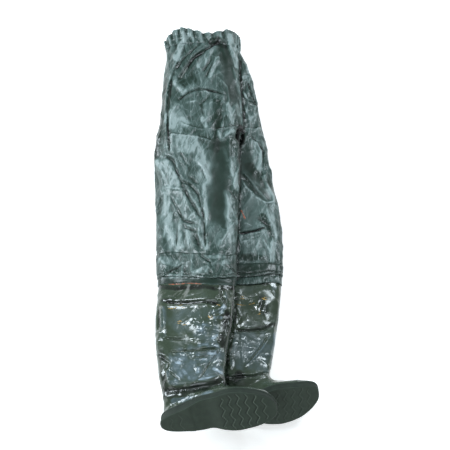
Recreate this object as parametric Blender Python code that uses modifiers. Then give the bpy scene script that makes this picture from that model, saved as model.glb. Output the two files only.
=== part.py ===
import math

import bpy
import bmesh
from mathutils import Matrix, Vector

# Waist waders folded flat on the floor, right leg over left, soles turned to the viewer.
# All sizes below are millimetres; meshes are written in metres.
unit = 0.001

# Driving sizes
trouser_wall = 0.9
boot_wall = 2.0
band_wall = 1.0
casing_wall = 1.2
layer_gap = 0.5
drape_wide = 82.0
outsole_length = 290.0
heel_half = 36.0
waist_half = 44.0
ball_half = 59.0
rim_wall = 3.4
rim_height = 13.0
bed_heel = 20.0
bed_ball = 9.0
toe_spring = 8.0
arch_rise = 7.0
toe_swing = 17.0
arch_shift = 4.0
insole_thick = 3.0

# Points round a ring: half for the upper side and half for the lower side
half_points = 14
strip_points = 3

# Hip sections from the crotch seam up to the waist casing
hip_columns = ("y", "back", "tuck", "front", "strip_top", "top", "edge")
hip_rows = [
    (290, -224, 20, 84, 36, 72, 14),
    (330, -217, 18, 76, 36, 74, 15),
    (375, -214, 14, 69, 36, 73, 16),
    (420, -213, 10, 63, 36, 71, 17),
    (465, -211, 8, 55, 36, 69, 18),
    (505, -207, 7, 44, 35, 67, 19),
    (545, -201, 6, 29, 33, 65, 20),
    (575, -203, 3, 16, 31, 63, 21),
    (595, -207, 0, 9, 29, 61, 22),
]

# Left leg sections, from below the crotch to the hem over the boot
left_columns = ("y", "back", "front", "thick", "edge")
left_rows = [
    (262, -212, 88, 37, 13),
    (210, -176, 95, 37, 13),
    (160, -150, 101, 38, 13),
    (110, -132, 109, 39, 14),
    (60, -118, 117, 40, 14),
    (10, -106, 123, 42, 15),
    (-40, -98, 127, 44, 16),
    (-90, -92, 128, 47, 18),
    (-128, -88, 126, 50, 20),
    (-162, -86, 124, 53, 22),
    (-186, -86, 123, 54, 23),
]

# Right leg sections; lift is the height of its underside over the left leg,
# rest the height of its underside where it hangs off the left leg
right_columns = ("y", "back", "front", "thick", "edge", "lift", "rest")
right_rows = [
    (262, -226, 9, 37, 12, 39, 0),
    (210, -229, 15, 37, 12, 39, 0),
    (160, -229, 13, 38, 12, 40, 0),
    (110, -226, 11, 39, 13, 41, 0),
    (60, -223, 9, 40, 13, 42, 0),
    (10, -220, 7, 42, 14, 44, 0),
    (-40, -218, 5, 44, 16, 46, 0),
    (-95, -216, 3, 48, 18, 49.5, 1.6),
    (-132, -213, 1, 51, 20, 52.5, 2),
    (-170, -210, -1, 55, 24, 57, 4),
    (-190, -210, -1, 55, 24, 57, 4),
]

# Boot shafts, from inside the hem down to the ankle
left_shaft_rows = left_rows[-2:] + [
    (-202, -87, 121, 57, 26),
    (-225, -89, 118, 59, 27),
    (-260, -92, 114, 61, 28),
    (-305, -96, 108, 62, 29),
    (-350, -94, 101, 61, 29),
    (-388, -84, 95, 60, 29),
    (-420, -78, 91, 59, 29),
]
right_shaft_rows = right_rows[-2:] + [
    (-206, -210, -2, 57, 25, 59, 6),
    (-235, -210, -4, 61, 27, 62, 10),
    (-285, -212, -6, 63, 29, 64, 20),
    (-335, -211, -11, 62, 29, 65, 32),
    (-378, -208, -20, 60, 29, 66, 44),
    (-415, -204, -27, 58, 29, 68, 54),
    (-450, -200, -30, 57, 29, 72, 61),
    (-478, -197, -29, 58, 29, 77, 66),
]

# Foot sections, up from the feather line; half widths at heel, waist and ball
last_columns = ("rise", "back", "front", "heel", "waist", "ball", "bed", "relax", "lean")
last_rows = [
    (0.5, 3.8, 286.2, 32.2, 40.2, 55.2, 1.0, 0.0, 0),
    (13.5, 3.8, 286.2, 32.2, 40.2, 55.2, 1.0, 0.0, 0),
    (26, 3.0, 284, 33, 40.5, 54, 0.85, 0.0, 0),
    (37, 3.5, 273, 33.5, 40, 48, 0.70, 0.05, 0),
    (46, 4.5, 252, 33.5, 38.5, 42, 0.55, 0.18, 0.12),
    (56, 6, 224, 33, 36.5, 38, 0.40, 0.36, 0.28),
    (67, 8, 198, 32, 35, 36, 0.25, 0.58, 0.5),
    (80, 9, 180, 31, 33.5, 34, 0.10, 0.82, 0.76),
    (96, 9, 171, 30, 32, 33, 0.0, 1.0, 1.0),
]

# Where each foot lies: heel point on the tread plane and the turns of the sole
foot_columns = ("x", "y", "z", "yaw", "pitch", "tilt", "lean", "inner")
right_foot = dict(zip(foot_columns, (-189, -605, 110, 6.8, 13.0, 38, 14, -1)))
left_foot = dict(zip(foot_columns, (-78, -562, 55.5, 7.0, 3.5, 32, 14, 1)))

# Tread of the sole: wavy ribs across the forefoot and three short ones on the heel
rib_height = 2.2
rib_width = 3.6
wave_length = 43.0
wave_depth = 4.5
wave_steps = 4
front_ribs = [(162, 50), (182, 56), (202, 57), (222, 54), (242, 48), (262, 38)]
heel_ribs = [(30, 26), (54, 29)]
rib_edge = 7.0

for stale in list(bpy.data.objects):
    bpy.data.objects.remove(stale, do_unlink=True)

parts = bpy.data.collections.new("waders")
bpy.context.scene.collection.children.link(parts)
cutters = bpy.data.collections.new("cutters")
bpy.context.scene.collection.children.link(cutters)


def material(name, color, rough):
    made = bpy.data.materials.new(name)
    made.use_nodes = True
    shader = made.node_tree.nodes["Principled BSDF"]
    shader.inputs["Base Color"].default_value = (*color, 1.0)
    shader.inputs["Roughness"].default_value = rough
    return made


trouser_cloth = material("pvc_coated_cloth", (0.115, 0.150, 0.145), 0.35)
boot_pvc = material("moulded_pvc", (0.085, 0.110, 0.098), 0.25)
sole_rubber = material("sole_rubber", (0.040, 0.053, 0.044), 0.75)
insole_felt = material("insole_felt", (0.20, 0.20, 0.18), 0.9)


def smooth(start, end, value):
    t = min(1.0, max(0.0, (value - start) / (end - start)))
    return t * t * (3.0 - 2.0 * t)


def power(value, exponent):
    return math.copysign(abs(value) ** exponent, value)


def blend(stops, at):
    # smooth curve through a few (place, value) stops
    if at <= stops[0][0]:
        return stops[0][1]
    for (p0, v0), (p1, v1) in zip(stops, stops[1:]):
        if at <= p1:
            return v0 + (v1 - v0) * smooth(p0, p1, at)
    return stops[-1][1]


def new_part(name, verts, faces, stuff, wall=0.0, home=None):
    mesh = bpy.data.meshes.new(name)
    mesh.from_pydata([Vector(v) * unit for v in verts], [], faces)
    mesh.validate()
    work = bmesh.new()
    work.from_mesh(mesh)
    bmesh.ops.recalc_face_normals(work, faces=work.faces)
    work.to_mesh(mesh)
    work.free()
    mesh.materials.append(stuff)
    made = bpy.data.objects.new(name, mesh)
    (home or parts).objects.link(made)
    if wall:
        shell = made.modifiers.new("wall", "SOLIDIFY")
        shell.thickness = wall * unit
        shell.offset = -1.0
        shell.use_rim = True
    return made


def bridge(first, second):
    count = len(first)
    return [(first[i], first[(i + 1) % count], second[(i + 1) % count], second[i])
            for i in range(count)]


def loft(rings):
    verts, faces, before = [], [], None
    for ring in rings:
        ids = list(range(len(verts), len(verts) + len(ring)))
        verts.extend(ring)
        if before:
            faces.extend(bridge(before, ids))
        before = ids
    return verts, faces


def side_angles():
    return [math.pi * i / half_points for i in range(1, half_points)]


# Leg sections: ring order is front edge, upper side, back edge, lower side
def arch_height(place, low, high, fullness=2.6):
    # 0 at both edges of a flattened tube, 1 in the middle
    c = min(1.0, abs(2.0 * (place - low) / (high - low) - 1.0))
    return (1.0 - c ** fullness) ** (1.0 / fullness)


def across(angle, low, high):
    return 0.5 * (low + high) + 0.5 * (high - low) * power(math.cos(angle), 0.9)


def floor_side(place, back, front, edge):
    return max(0.0, edge * (1.0 - 1.12 * arch_height(place, back, front)))


def offset_ring(ring, amount):
    # the ring moved outward in its own plane, each facet by the same amount
    out = []
    for i, point in enumerate(ring):
        before = (point - ring[i - 1]).normalized()
        after = (ring[(i + 1) % len(ring)] - point).normalized()
        first = Vector((before.z, 0, -before.x))
        normal = (first + Vector((after.z, 0, -after.x))).normalized()
        out.append(point + normal * amount / max(0.7, normal.dot(first)))
    return out


def plain_left_ring(row):
    # the leg rides on its knee band, by the thickness of the band
    y, back, front, thick, edge = row
    low = (layer_gap + band_wall) * (smooth(-90.0, -128.0, y) - smooth(-186.0, -225.0, y))
    return right_ring((y, back, front, thick - low, edge - low, low, low))


def left_ring(row):
    # the plain ring with extra points on the upper side, in the order of a hip ring
    plain = plain_left_ring(row)
    upper = plain[1:half_points]
    first = (half_points - strip_points) // 2
    spread = []
    for i, point in enumerate(upper):
        spread.append(point)
        if first <= i <= first + strip_points:
            spread.append(point.lerp(upper[i + 1], 0.5))
    return spread[strip_points:] + plain[half_points:] + [plain[0]] + spread[:strip_points]


def left_back_at(y):
    rows = sorted([r[:2] for r in left_rows + left_shaft_rows[2:]] + [hip_rows[0][:2]])
    for (y0, b0), (y1, b1) in zip(rows, rows[1:]):
        if y <= y1:
            return b0 + (b1 - b0) * (y - y0) / (y1 - y0) if y > y0 else b0
    return rows[-1][1]


def right_ring(row):
    y, back, front, thick, edge, lift, rest = row
    ledge = left_back_at(y)

    def base(x):
        return rest + (lift - rest) * smooth(ledge - drape_wide, ledge + 0.3 * drape_wide, x)

    def top(x):
        return base(x) + edge + (thick - edge) * arch_height(x, back, front)

    def under(x):
        return base(x) + floor_side(x, back, front, edge)

    ring = [Vector((front, y, base(front) + edge))]
    for a in side_angles():
        x = across(a, back, front)
        ring.append(Vector((x, y, top(x))))
    ring.append(Vector((back, y, base(back) + edge)))
    for a in side_angles():
        x = across(math.pi + a, back, front)
        ring.append(Vector((x, y, under(x))))
    return ring


def hip_ring(row):
    y, back, tuck, front, strip_top, top, edge = row
    low = (layer_gap + casing_wall) * smooth(hip_rows[-3][0], hip_rows[-2][0], y)

    def base(x):
        return edge + (strip_top - edge) * smooth(back, tuck, x)

    ring = [Vector((tuck, y, strip_top))]
    for a in side_angles():
        x = across(a, back, tuck)
        ring.append(Vector((x, y, base(x) + (top - base(x)) * arch_height(x, back, tuck))))
    ring.append(Vector((back, y, edge)))
    for a in side_angles():
        x = across(math.pi + a, back, front)
        ring.append(Vector((x, y, low + floor_side(x, back, front, edge - low))))
    ring.append(Vector((front, y, edge)))
    for k in range(1, strip_points + 1):
        t = (k / (strip_points + 1.0)) ** 1.2
        x = front - (front - tuck) * t
        lift = math.sin(0.5 * math.pi * t) ** 0.7
        ring.append(Vector((x, y, edge + (strip_top - edge) * lift)))
    return ring


# Trousers: hip tube above the crotch, two legs below that share a seam row between them
def build_trousers():
    count = half_points
    verts, faces = [], []

    def put(points):
        start = len(verts)
        verts.extend(points)
        return list(range(start, len(verts)))

    crotch = put(hip_ring(hip_rows[0]))
    above = crotch
    for row in hip_rows[1:]:
        ids = put(hip_ring(row))
        faces.extend(bridge(above, ids))
        above = ids
    y, back, tuck, front, strip_top, top, edge = hip_rows[0]
    seam = []
    for a in side_angles():
        x = tuck - (tuck - back) * math.sin(0.5 * a) ** 1.2
        z = edge + (strip_top - edge) * arch_height(x, back, front)
        seam.append(Vector((x, y, z)))
    seam_ids = put(seam)
    left_before = [crotch[0]] + seam_ids + crotch[count:]
    for row in left_rows:
        ids = put(left_ring(row))
        faces.extend(bridge(left_before, ids))
        left_before = ids
    right_before = crotch[:count + 1] + seam_ids[::-1]
    for row in right_rows:
        ids = put(right_ring(row))
        faces.extend(bridge(right_before, ids))
        right_before = ids
    return new_part("trousers", verts, faces, trouser_cloth, trouser_wall)


build_trousers()


# Knee bands: sleeves over the trousers at the same sections
def build_sleeve(name, rings, stuff, wall):
    verts, faces = loft(rings)
    made = new_part(name, verts, faces, stuff, wall)
    made.modifiers["wall"].offset = 1.0
    return made


build_sleeve("knee_band_right", [offset_ring(right_ring(r), layer_gap) for r in right_rows[-4:-1]],
             trouser_cloth, band_wall)
build_sleeve("knee_band_left", [offset_ring(left_ring(r), layer_gap) for r in left_rows[-3:-1]],
             trouser_cloth, band_wall)


# Feet: places along the sole are 0 at the heel and 1 at the toe
def bed_height(place):
    return blend([(0.0, bed_heel), (0.22, bed_heel), (0.62, bed_ball), (0.78, bed_ball),
                  (1.0, bed_ball + toe_spring)], place)


def ground_height(place):
    return blend([(0.0, 0.0), (0.275, 0.0), (0.29, 2.5), (0.42, arch_rise), (0.54, 0.0),
                  (0.80, 0.0), (1.0, toe_spring)], place)


def sole_place(angle):
    return 0.5 + 0.5 * power(math.cos(angle), 0.86)


def half_width(place, heel, waist, ball):
    return blend([(0.16, heel), (0.40, waist), (0.68, ball), (1.0, 0.97 * ball)], place)


def centre_line(place, inner):
    swing = toe_swing * max(0.0, (place - 0.62) / 0.38) ** 2
    return inner * (swing - arch_shift * math.exp(-((place - 0.42) / 0.16) ** 2))


def foot_outline(back, front, heel, waist, ball, inner, bed):
    points = []
    for i in range(2 * half_points):
        angle = math.pi * i / half_points
        place = sole_place(angle)
        wide = half_width(place, heel, waist, ball) * power(math.sin(angle), 0.80)
        points.append((back + (front - back) * place,
                       wide + bed * centre_line(place, inner), place))
    return points


def foot_axes(pose, tilt):
    turn = Matrix.Rotation(math.radians(pose["yaw"]), 3, "Z")
    turn = turn @ Matrix.Rotation(-math.radians(pose["pitch"]), 3, "Y")
    lean = math.radians(tilt)
    along = turn @ Vector((1, 0, 0))
    upside = turn @ Vector((0, math.sin(lean), math.cos(lean)))
    inward = turn @ Vector((0, math.cos(lean), -math.sin(lean)))
    return along, upside, inward


def sole_point(pose, place_mm, side, height):
    along, upside, inward = foot_axes(pose, pose["tilt"])
    origin = Vector((pose["x"], pose["y"], pose["z"]))
    return origin + along * place_mm + upside * side + inward * height


def foot_rings(pose):
    rings = []
    spot = Vector((pose["x"], pose["y"], pose["z"]))
    before, lean_before = 0.0, 0.0
    for row in last_rows:
        rise, back, front, heel, waist, ball, bed, relax, lean = row
        along, upside, inward = foot_axes(pose, pose["tilt"] * (1.0 - relax))
        spot = spot + inward * (rise - before) + upside * pose["lean"] * (lean - lean_before)
        before, lean_before = rise, lean
        ring = []
        for s, side, place in foot_outline(back, front, heel, waist, ball, pose["inner"], bed):
            ring.append(spot + along * s + upside * side + inward * bed * bed_height(place))
        rings.append(ring)
    return rings


def build_boot(name, pose, shaft, ring_of):
    rings = foot_rings(pose)
    for row in reversed(shaft):
        hem = shaft[1][0]
        inset = -(trouser_wall + layer_gap) * smooth(hem - 45.0, hem - 16.0, row[0])
        rings.append(offset_ring(ring_of(row), inset))
    verts, faces = loft(rings)
    return new_part(name, verts, faces, boot_pvc, boot_wall)


build_boot("boot_upper_right", right_foot, right_shaft_rows, right_ring)
build_boot("boot_upper_left", left_foot, left_shaft_rows, plain_left_ring)


def sole_ring(pose, inset, height_of):
    ring = []
    outline = foot_outline(inset, outsole_length - inset, heel_half - inset,
                           waist_half - inset, ball_half - inset, pose["inner"], 1.0)
    for s, side, place in outline:
        ring.append(sole_point(pose, s, side, height_of(place)))
    return ring


def ladder(ids):
    # quads across a ring whose two sides share the same places along the sole
    count = len(ids)
    rungs = [(ids[0], ids[1], ids[-1])]
    for i in range(1, count // 2 - 1):
        rungs.append((ids[i], ids[i + 1], ids[count - i - 1], ids[count - i]))
    last = count // 2
    rungs.append((ids[last - 1], ids[last], ids[last + 1]))
    return rungs


def closed_stack(name, rings, stuff, home=None):
    verts, faces = loft(rings)
    count = len(rings[0])
    faces.extend(ladder(list(range(count))))
    faces.extend(ladder(list(range(len(verts) - count, len(verts)))))
    return new_part(name, verts, faces, stuff, home=home)


def wavy_rib(name, pose, at, reach):
    axis_side = centre_line(at / outsole_length, pose["inner"])
    steps = 2 * wave_steps
    rings = []
    for k in range(steps + 1):
        side = -reach + rib_edge + 2.0 * (reach - rib_edge) * k / steps
        shift = wave_depth * math.sin(2.0 * math.pi * side / wave_length)
        s = at + shift
        side += axis_side
        ground = ground_height(s / outsole_length)
        rings.append([sole_point(pose, s - 0.5 * rib_width, side, ground + 1.6),
                      sole_point(pose, s + 0.5 * rib_width, side, ground + 1.6),
                      sole_point(pose, s + 0.3 * rib_width, side, ground - rib_height),
                      sole_point(pose, s - 0.3 * rib_width, side, ground - rib_height)])
    verts, faces = loft(rings)
    faces.append((0, 1, 2, 3))
    faces.append(tuple(range(len(verts) - 4, len(verts))))
    rib = new_part(name, verts, faces, sole_rubber, home=cutters)
    rib.hide_render = True
    rib.display_type = "WIRE"
    return rib


def build_outsole(side_name, pose):
    rings = [
        sole_ring(pose, 3.0, ground_height),
        sole_ring(pose, 0.6, lambda p: ground_height(p) + 3.0),
        sole_ring(pose, 0.9, lambda p: bed_height(p) + 5.0),
        sole_ring(pose, 0.0, lambda p: bed_height(p) + 8.0),
        sole_ring(pose, 0.4, lambda p: bed_height(p) + rim_height),
        sole_ring(pose, rim_wall, lambda p: bed_height(p) + rim_height),
        sole_ring(pose, rim_wall, bed_height),
    ]
    sole = closed_stack("outsole_" + side_name, rings, sole_rubber)
    for k, (at, reach) in enumerate(front_ribs + heel_ribs):
        rib = wavy_rib("rib_%s_%d" % (side_name, k), pose, at, reach)
        join = sole.modifiers.new("rib_%d" % k, "BOOLEAN")
        join.operation = "UNION"
        join.solver = "EXACT"
        join.object = rib
    return sole


build_outsole("right", right_foot)
build_outsole("left", left_foot)


def build_insole(side_name, pose):
    inset = rim_wall + 0.4 + boot_wall + 0.6
    rings = [sole_ring(pose, inset, lambda p: bed_height(p) + 0.4),
             sole_ring(pose, inset, lambda p: bed_height(p) + 0.4 + insole_thick)]
    return closed_stack("insole_" + side_name, rings, insole_felt)


build_insole("right", right_foot)
build_insole("left", left_foot)


# Waist casing: gathered sleeve round the top of the trousers
casing_low = 581.0
casing_high = 627.0
gather_depth = 4.5
gather_count = 17
top_wave = 10.0
casing_rows = [(0.0, 0.0, 0.0), (0.3, 0.0, 0.0), (0.62, 1.0, 0.4), (1.0, 0.8, 1.0)]


def casing_ring(share, gather, wave):
    base = hip_ring(hip_rows[-1])
    below = hip_ring(hip_rows[-2])
    y0, y1 = hip_rows[-2][0], hip_rows[-1][0]
    y = casing_low + (casing_high - casing_low) * share
    t = (y - y0) / (y1 - y0)
    t = min(t, 1.0)
    ring = [a.lerp(b, t) for a, b in zip(below, base)]
    dense = []
    for i, point in enumerate(ring):
        following = ring[(i + 1) % len(ring)]
        dense.extend([point, point.lerp(following, 0.5)])
    out = []
    count = len(dense)
    middle = Vector((sum(p.x for p in dense) / count, 0, sum(p.z for p in dense) / count))
    for i, point in enumerate(dense):
        edge = dense[(i + 1) % count] - dense[i - 1]
        normal = Vector((edge.z, 0, -edge.x))
        if normal.length < 1e-6:
            normal = point - middle
        normal.normalize()
        if normal.dot(Vector((point.x, 0, point.z)) - middle) < 0:
            normal = -normal
        ripple = 0.5 + 0.5 * math.cos(2.0 * math.pi * gather_count * i / count + 0.9 * share)
        push = layer_gap + gather * gather_depth * ripple
        lifted = point + normal * push
        crest = math.cos(2.0 * math.pi * (point.x + 155.0) / 145.0)
        side_drop = smooth(-180.0, -205.0, point.x)
        lifted.y = y + wave * (top_wave * crest - 14.0 * side_drop)
        lifted.z = max(lifted.z, casing_wall)
        out.append(lifted)
    return out


build_sleeve("waist_casing", [casing_ring(*row) for row in casing_rows], trouser_cloth, casing_wall)

# Put the floor at z = 0 and the middle of the footprint at the origin
depsgraph = bpy.context.evaluated_depsgraph_get()
low = Vector((1e9, 1e9, 1e9))
high = -low
for made in parts.objects:
    shape = made.evaluated_get(depsgraph)
    for corner in shape.bound_box:
        low = Vector(map(min, low, corner))
        high = Vector(map(max, high, corner))
shift = Vector((-(low.x + high.x) / 2, -(low.y + high.y) / 2, -low.z))
for made in list(parts.objects) + list(cutters.objects):
    made.data.transform(Matrix.Translation(shift))
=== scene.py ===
import math
from contextlib import contextmanager
from functools import partial

import bpy
import bmesh
import numpy as np
from mathutils import Matrix, Vector, noise
from mathutils.bvhtree import BVHTree


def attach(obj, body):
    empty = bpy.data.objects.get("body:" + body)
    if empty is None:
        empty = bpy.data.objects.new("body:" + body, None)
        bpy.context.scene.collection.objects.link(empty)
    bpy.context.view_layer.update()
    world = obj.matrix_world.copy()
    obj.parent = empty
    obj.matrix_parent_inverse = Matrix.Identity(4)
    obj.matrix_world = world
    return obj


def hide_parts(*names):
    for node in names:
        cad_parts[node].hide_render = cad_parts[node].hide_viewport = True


# Waist waders lying folded, right leg over left, soles turned to the viewer.
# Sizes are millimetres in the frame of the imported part; meshes are written in metres.
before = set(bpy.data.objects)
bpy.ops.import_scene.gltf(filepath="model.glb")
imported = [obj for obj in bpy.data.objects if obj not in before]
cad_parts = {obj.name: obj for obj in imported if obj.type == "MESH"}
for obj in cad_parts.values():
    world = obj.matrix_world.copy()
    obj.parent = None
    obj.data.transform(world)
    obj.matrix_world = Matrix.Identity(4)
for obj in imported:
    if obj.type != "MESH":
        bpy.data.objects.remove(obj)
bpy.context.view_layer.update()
mm = 0.001
fullTurn = 6.28
print("frame loaded:", ", ".join(sorted(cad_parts)))


def linkUp(name, data):
    made = bpy.data.objects.new(name, data)
    bpy.context.scene.collection.objects.link(made)
    return made


# Camera at the photo's angle
cameraSet = {"elevation": 62.0, "distance": 3451.0, "lens": 100.0, "sensor": 36.0, "clipEnd": 50.0,
             "target": (-18.5, 1.1, 0.0)}


def placeCamera():
    s = cameraSet
    data = bpy.data.cameras.new("camera")
    data.lens = s["lens"]
    data.sensor_width = s["sensor"]
    data.clip_end = s["clipEnd"]
    eye = linkUp("camera", data)
    rise = math.radians(s["elevation"])
    away = Vector((0.0, -math.cos(rise), math.sin(rise))) * s["distance"]
    eye.location = (Vector(s["target"]) + away) * mm
    eye.rotation_euler = (math.pi / 2 - rise, 0.0, 0.0)
    bpy.context.scene.camera = eye


placeCamera()


# Materials
def linear(hexColour):
    parts = [int(hexColour[i:i + 2], 16) / 255.0 for i in (1, 3, 5)]
    return [c / 12.92 if c <= 0.04045 else ((c + 0.055) / 1.055) ** 2.4 for c in parts] + [1.0]


def fill(node, values):
    # sockets are linked, stops go to a colour ramp, anything else is set
    for key, value in values.items():
        if isinstance(value, bpy.types.NodeSocket):
            node.id_data.links.new(value, node.inputs[key])
        elif key == "stops":
            points = node.color_ramp.elements
            while len(points) < len(value):
                points.new(0.5)
            for point, (where, colour) in zip(points, value):
                point.position = where
                point.color = linear(colour)
        elif isinstance(key, str) and hasattr(node, key):
            setattr(node, key, value)
        else:
            node.inputs[key].default_value = value


def addNode(tree, kind, values, out=0):
    node = tree.nodes.new("ShaderNode" + kind)
    fill(node, values)
    return node.outputs[out]


def newMaterial(name, settings):
    made = bpy.data.materials.new(name)
    made.use_nodes = True
    shader = made.node_tree.nodes["Principled BSDF"]
    fill(shader, settings)
    add = partial(addNode, made.node_tree)
    return made, add, shader, add("TexCoord", {}, "Object")


def surface(add, shader, colour, rough, reliefs):
    # colour, roughness and one relief on another, each with its strength and depth in mm
    values = {"Base Color": colour, "Roughness": rough}
    for height, strength, depth in reliefs:
        relief = {"Height": height, "Strength": strength, "Distance": depth * mm}
        if "Normal" in values:
            relief["Normal"] = values["Normal"]
        values["Normal"] = add("Bump", relief)
    fill(shader, values)


def perMetre(sizeInMm):
    return 1000.0 / sizeInMm


def sumOf(add, total, *layers):
    # a start plus a share of each layer
    for layer, share in layers:
        total = add("Math", {"operation": "MULTIPLY_ADD", 0: layer, 1: share, 2: total})
    return total


def longNoise(add, place, sizes, turn, detail, twist):
    # noise drawn out into streaks of a width and a length, turned from the leg by some degrees
    wide, long = sizes
    spread = add("Mapping", {"vector_type": "TEXTURE", "Rotation": (0.0, 0.0, math.radians(turn)),
                             "Scale": (wide * mm, long * mm, wide * mm), "Vector": place})
    return add("TexNoise", {"Scale": 1.0, "Detail": detail, "Distortion": twist, "Vector": spread})


def foldLines(add, place, crumple, sizes, turn):
    # long sharp folds, dark on one side and bright on the other, used as relief and as painted shade and
    # highlight in the cloth's colour
    grey = "#808080"
    stops = [(0.0, grey), (0.44, grey), (0.485, "#000000"), (0.515, "#ffffff"), (0.56, grey), (1.0, grey)]
    lines = add("ValToRGB", {"Fac": longNoise(add, place, sizes, turn, 0.5, 0.1), "stops": stops})
    level = add("Math", {"operation": "SUBTRACT", 0: lines, 1: linear(grey)[0]})
    return add("Math", {"operation": "MULTIPLY", 0: level, 1: crumple})


def toneOf(add, place, crumple, s):
    # painted sheen and shade broken up by broad and fine mottling, about 0.5 where nothing is painted
    patch, mottle = [add("TexNoise", {"Scale": perMetre(s[size]), "Detail": 3.0, "Vector": place})
                     for size in ("patch", "mottle")]
    painted = add("Attribute", {"attribute_name": "tone"}, "Fac")
    streak = longNoise(add, place, s["streak"], -12.0, 2.5, 0.0)
    change = add("MapRange", {"From Min": 0.36, "From Max": 0.62, "To Min": -0.5, "To Max": 0.25,
                              "Value": streak})
    torn = add("Math", {"operation": "MULTIPLY", 0: change, 1: crumple})
    broken = sumOf(add, painted, (torn, painted))
    return sumOf(add, 0.35, (broken, 0.5), (patch, 0.18), (mottle, 0.12)), patch


def toneColour(add, tone, s):
    stops = list(zip((0.0, 0.3, 0.5, 0.75, 1.0), s["tones"].values()))
    return add("ValToRGB", {"Fac": tone, "stops": stops})


# Sharp folds of the cloth as width and length, turn and share; reliefs as strength and depth in mm. The tones
# run from painted shade through the cloth's own green to painted sheen and highlight.
pvcCloth = {"shine": {"IOR": 1.45, "Coat Weight": 0.15, "Coat Roughness": 0.2},
            "rough": {"From Min": 0.3, "From Max": 0.9, "To Min": 0.28, "To Max": 0.42}, "calmRough": 0.06,
            "tones": {"paintedShade": "#070c0a", "deep": "#16281f", "base": "#283b34", "sheen": "#586b67",
                      "paintedHighlight": "#8d9d9b"},
            "patch": 70.0, "mottle": 12.0, "streak": (11.0, 40.0), "grain": 3.0, "grainRelief": (0.12, 0.2),
            "folds": [((26.0, 170.0), 8.0, 1.0), ((20.0, 80.0), -28.0, 0.9), ((11.0, 48.0), 16.0, 1.0)],
            "foldTone": 0.16, "foldRelief": (0.42, 1.2)}


def pvcCoatedCloth():
    # knitted cloth with a calendered PVC film: deep green, a broad grey sheen partly painted into the colour,
    # sharp fold lines with painted shade and highlight
    s = pvcCloth
    made, add, shader, place = newMaterial("PVC-coated cloth calendered", s["shine"])
    crumple = add("Attribute", {"attribute_name": "crumple"}, "Fac")
    tone = toneOf(add, place, crumple, s)[0]
    folds = sumOf(add, 0.0, *[(foldLines(add, place, crumple, sizes, turn), share)
                              for sizes, turn, share in s["folds"]])
    rough = add("MapRange", dict(s["rough"], Value=tone))
    calm = add("Math", {"operation": "SUBTRACT", 0: 1.0, 1: crumple})
    grain = add("TexNoise", {"Scale": perMetre(s["grain"]), "Detail": 2.0, "Vector": place})
    # the fold lines also go into the colour as painted shade and painted highlight
    colour = toneColour(add, sumOf(add, tone, (folds, s["foldTone"])), s)
    surface(add, shader, colour, sumOf(add, rough, (calm, s["calmRough"])),
            [(folds, *s["foldRelief"]), (grain, *s["grainRelief"])])
    return made


# Tones of the boot run from painted shade through its own olive to painted sheen and glints
bootPvc = {"shine": {"IOR": 1.5, "Coat Weight": 0.4, "Coat Roughness": 0.08},
           "rough": {"From Min": 0.35, "From Max": 0.7, "To Min": 0.14, "To Max": 0.34},
           "tones": {"paintedShade": "#0b100c", "deep": "#263127", "base": "#384536", "sheen": "#566669",
                     "paintedHighlight": "#9fb0ba"},
           "patch": 60.0, "mottle": 14.0, "streak": (22.0, 30.0), "dent": 24.0, "dentRelief": (0.8, 6.0),
           "peel": 6.0, "peelRelief": (0.12, 0.3)}


def mouldedPvc():
    # soft PVC moulded round a last: smooth, wet-looking, with crisp lights, and painted sheen, glints and
    # shade in its colour
    s = bootPvc
    made, add, shader, place = newMaterial("soft PVC moulded boot", s["shine"])
    crumple = add("Attribute", {"attribute_name": "crumple"}, "Fac")
    tone, patch = toneOf(add, place, crumple, s)
    rough = add("MapRange", dict(s["rough"], Value=patch))
    dents = add("TexNoise", {"Scale": perMetre(s["dent"]), "Detail": 1.5, "Distortion": 0.6, "Vector": place})
    dented = add("Math", {"operation": "MULTIPLY", 0: dents, 1: crumple})
    peel = add("TexNoise", {"Scale": perMetre(s["peel"]), "Detail": 1.0, "Vector": place})
    surface(add, shader, toneColour(add, tone, s), rough,
            [(dented, *s["dentRelief"]), (peel, *s["peelRelief"])])
    return made


# The pale colour is wear and painted highlight on the ribs and the rim edge; the dark wall colour is painted
# shade on the side wall and behind each rib
soleRubber = {"shine": {"IOR": 1.5, "Specular IOR Level": 0.25}, "rough": {"To Min": 0.55, "To Max": 0.78},
              "deep": "#252f27", "base": "#323d33", "worn": "#5f6d60", "wall": "#111612", "mottle": 14.0,
              "grit": 2.0, "gritRelief": (0.35, 0.3)}


# solid rubber from a steel mould: dull and dark; ribs and rim edge paler from wear and painted highlight,
# side wall and rib backs darker as painted shade
def mouldedRubber():
    # solid rubber from a steel mould: dull, dark, paler where the ribs are rubbed
    s = soleRubber
    made, add, shader, place = newMaterial("rubber moulded sole", s["shine"])
    mottle = add("TexNoise", {"Scale": perMetre(s["mottle"]), "Detail": 5.0, "Vector": place})
    colour = add("ValToRGB", {"Fac": mottle, "stops": [(0.3, s["deep"]), (0.7, s["base"])]})
    for layer in ("worn", "wall"):
        share = add("Attribute", {"attribute_name": layer}, "Fac")
        colour = add("MixRGB", {"Fac": share, "Color1": colour, "Color2": linear(s[layer])})
    rough = add("MapRange", dict(s["rough"], Value=mottle))
    grit = add("TexNoise", {"Scale": perMetre(s["grit"]), "Detail": 3.0, "Vector": place})
    surface(add, shader, colour, rough, [(grit, *s["gritRelief"])])
    return made


def plainFinish(name, shine, kind, pattern, stops, relief):
    # two colours and a shallow relief from one pattern
    rough, ior = shine
    made, add, shader, place = newMaterial(name, {"IOR": ior})
    mark = add(kind, dict(pattern, Vector=place), "Fac")
    colour = add("ValToRGB", {"Fac": mark, "stops": stops})
    surface(add, shader, colour, rough, [(mark, *relief)])
    return made


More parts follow.
